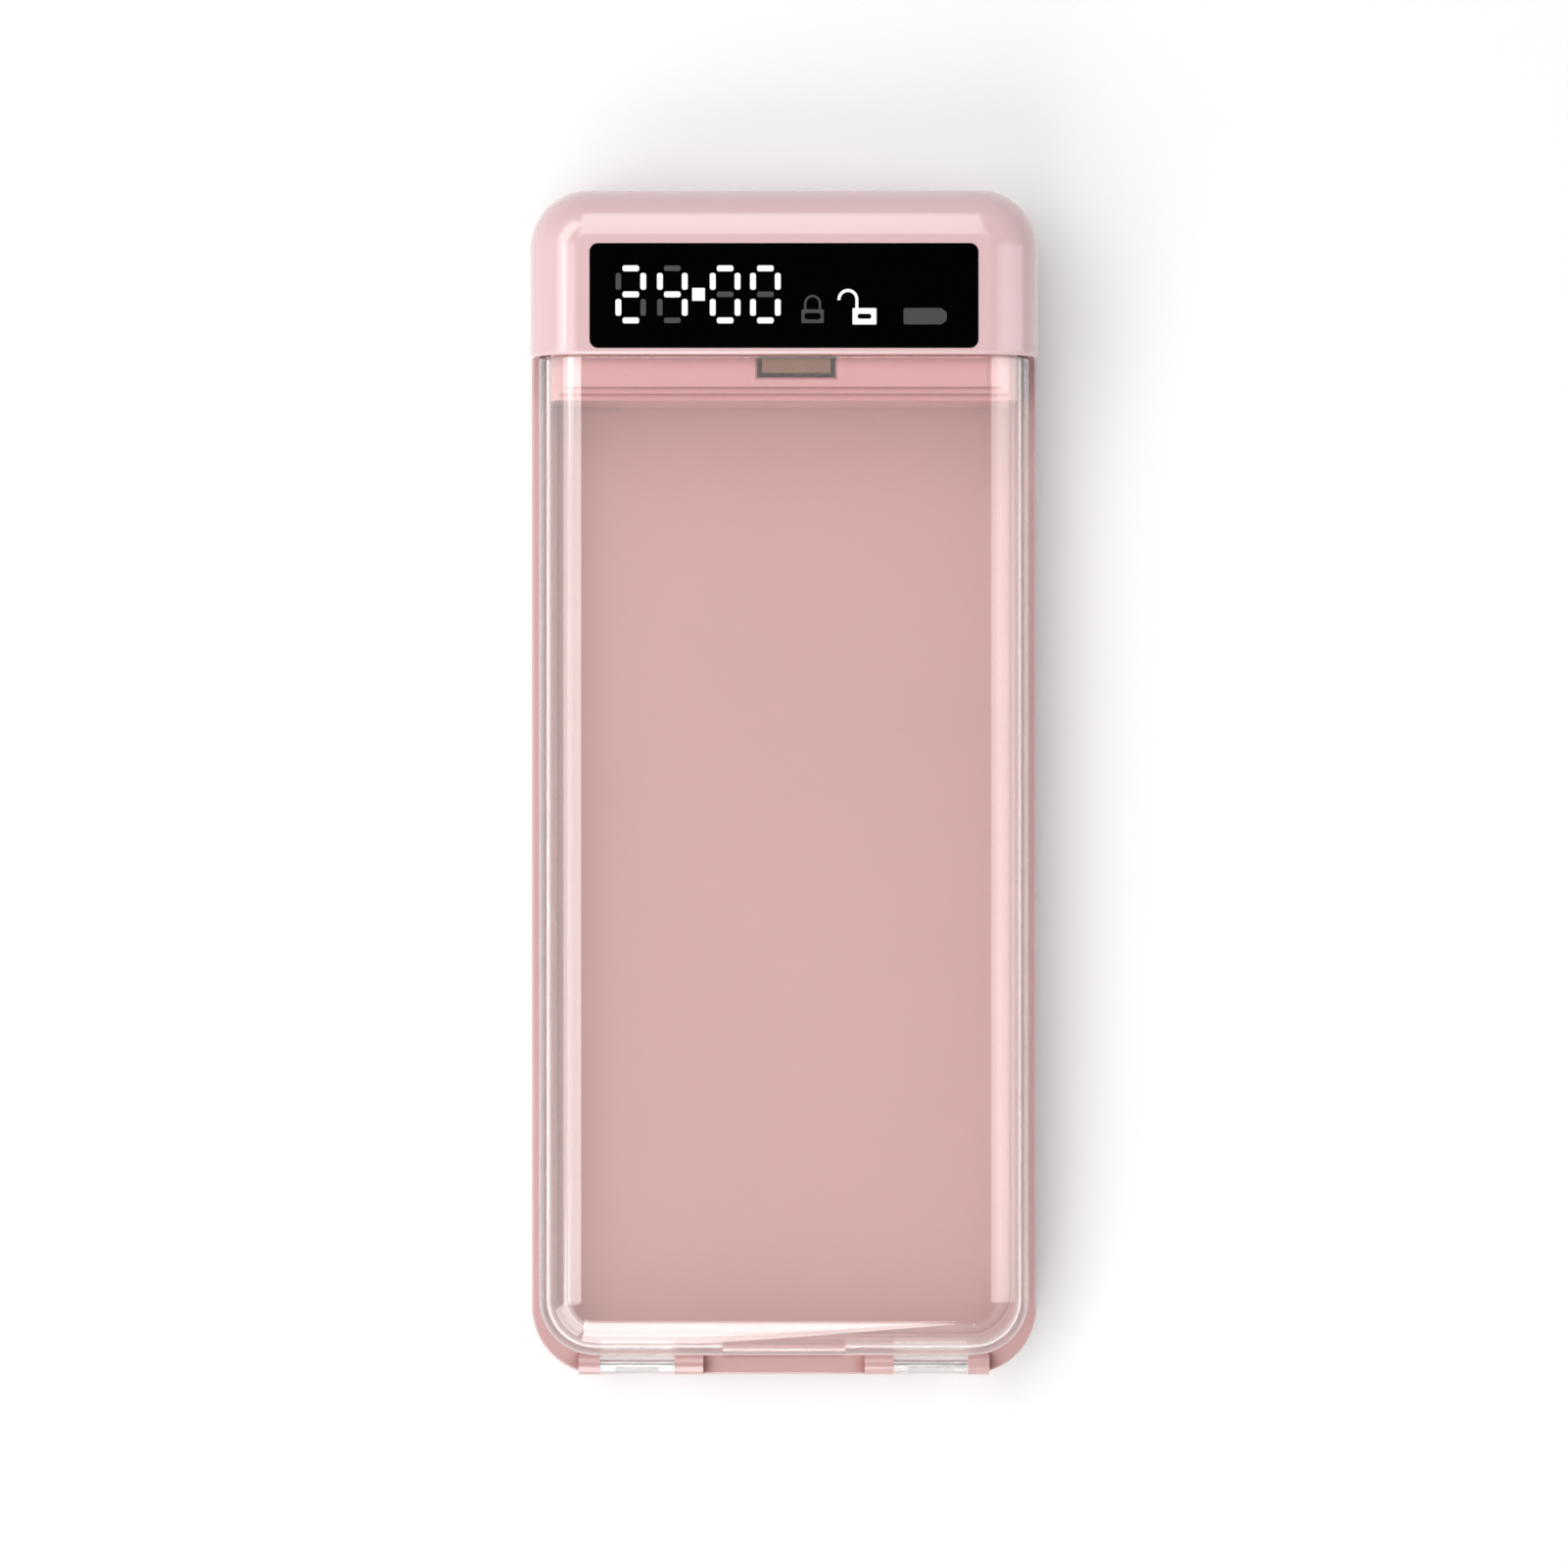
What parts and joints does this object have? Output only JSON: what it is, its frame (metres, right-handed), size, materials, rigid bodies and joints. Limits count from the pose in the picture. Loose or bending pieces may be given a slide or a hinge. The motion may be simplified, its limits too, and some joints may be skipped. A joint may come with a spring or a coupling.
{
  "type": "timed lock container",
  "caption": "Slim phone lock box: pink tray with a display head, and a hinged clear cover that a motor-driven bolt holds shut until the set time is over.",
  "frame": {"origin": "on the surface the box lies on, under the middle of the case", "axes": "+Z out of the front face, through the clear cover; +Y along the length towards the display head; +X to the right as seen from the front with the head up"},
  "size_m": [0.094, 0.22, 0.03],
  "materials": {
    "pink_shell": "satin to glossy moulded pink",
    "clear_plastic": "polished clear",
    "black_lens": "glossy black window",
    "lit_sign": "white light guide",
    "dim_sign": "unlit light guide",
    "board": "green circuit board",
    "chip": "moulded black",
    "black_part": "matt black",
    "battery_foil": "foil pouch",
    "lead": "insulated wire",
    "steel": "bright zinc",
    "brass_gear": "machined",
    "bracket_white": "natural moulded",
    "bolt_white": "natural moulded",
    "foot_rubber": "translucent pad",
    "flex_film": "amber film"
  },
  "bodies": {
    "case": {"rear_case": "pink_shell", "feet": "foot_rubber", "head_cover": "pink_shell", "display_lens": "black_lens", "digit_bars_lit": "lit_sign", "digit_bars_dim": "dim_sign", "icon_unlocked": "lit_sign", "icon_locked": "dim_sign", "icon_battery": "dim_sign", "display_module": "black_part", "display_board": "board", "display_screws": "steel", "display_flex": "flex_film", "main_board": "board", "board_parts": "chip", "board_screws": "steel", "battery": "battery_foil", "battery_leads": "lead", "usb_shell": "steel", "usb_tongue": "black_part", "tact_switches": "black_part", "gearbox": "steel", "motor_can": "steel", "motor_leads": "lead", "lock_bracket": "bracket_white", "motor_strap": "steel", "drive_screws": "steel", "case_screws": "steel"},
    "cover": {"clear_cover": "clear_plastic", "latch_hook": "clear_plastic", "hinge_pin_left": "steel", "hinge_pin_right": "steel"},
    "bolt": {"lock_bolt": "bolt_white"},
    "pinion": {"lock_pinion": "brass_gear", "output_shaft": "steel"},
    "hour_key": {"hour_button": "pink_shell"},
    "minute_key": {"minute_button": "pink_shell"},
    "lock_key": {"lock_button": "pink_shell"}
  },
  "joints": [
    {"name": "cover_hinge", "type": "hinge", "parent": "case", "child": "cover", "pos_m": [0, -0.108, 0.0149], "axis": [1, 0, 0], "range_deg": [0, 165]},
    {"name": "bolt_slide", "type": "slide", "parent": "case", "child": "bolt", "axis": [0, -1, 0], "range_m": [0, 0.0055]},
    {"name": "pinion_spin", "type": "hinge", "parent": "case", "child": "pinion", "pos_m": [0.00225, 0.09185, 0.01622], "axis": [1, 0, 0], "range_deg": [0, 106]},
    {"name": "hour_press", "type": "slide", "parent": "case", "child": "hour_key", "axis": [0, -1, 0], "range_m": [0, 0.0004], "stiffness_N_per_m": 500},
    {"name": "minute_press", "type": "slide", "parent": "case", "child": "minute_key", "axis": [0, -1, 0], "range_m": [0, 0.0004], "stiffness_N_per_m": 500},
    {"name": "lock_press", "type": "slide", "parent": "case", "child": "lock_key", "axis": [0, -1, 0], "range_m": [0, 0.0004], "stiffness_N_per_m": 500}
  ],
  "couplings": [
    {"joint": "pinion_spin", "follows": "bolt_slide", "rad_per_m": 333.33}
  ]
}
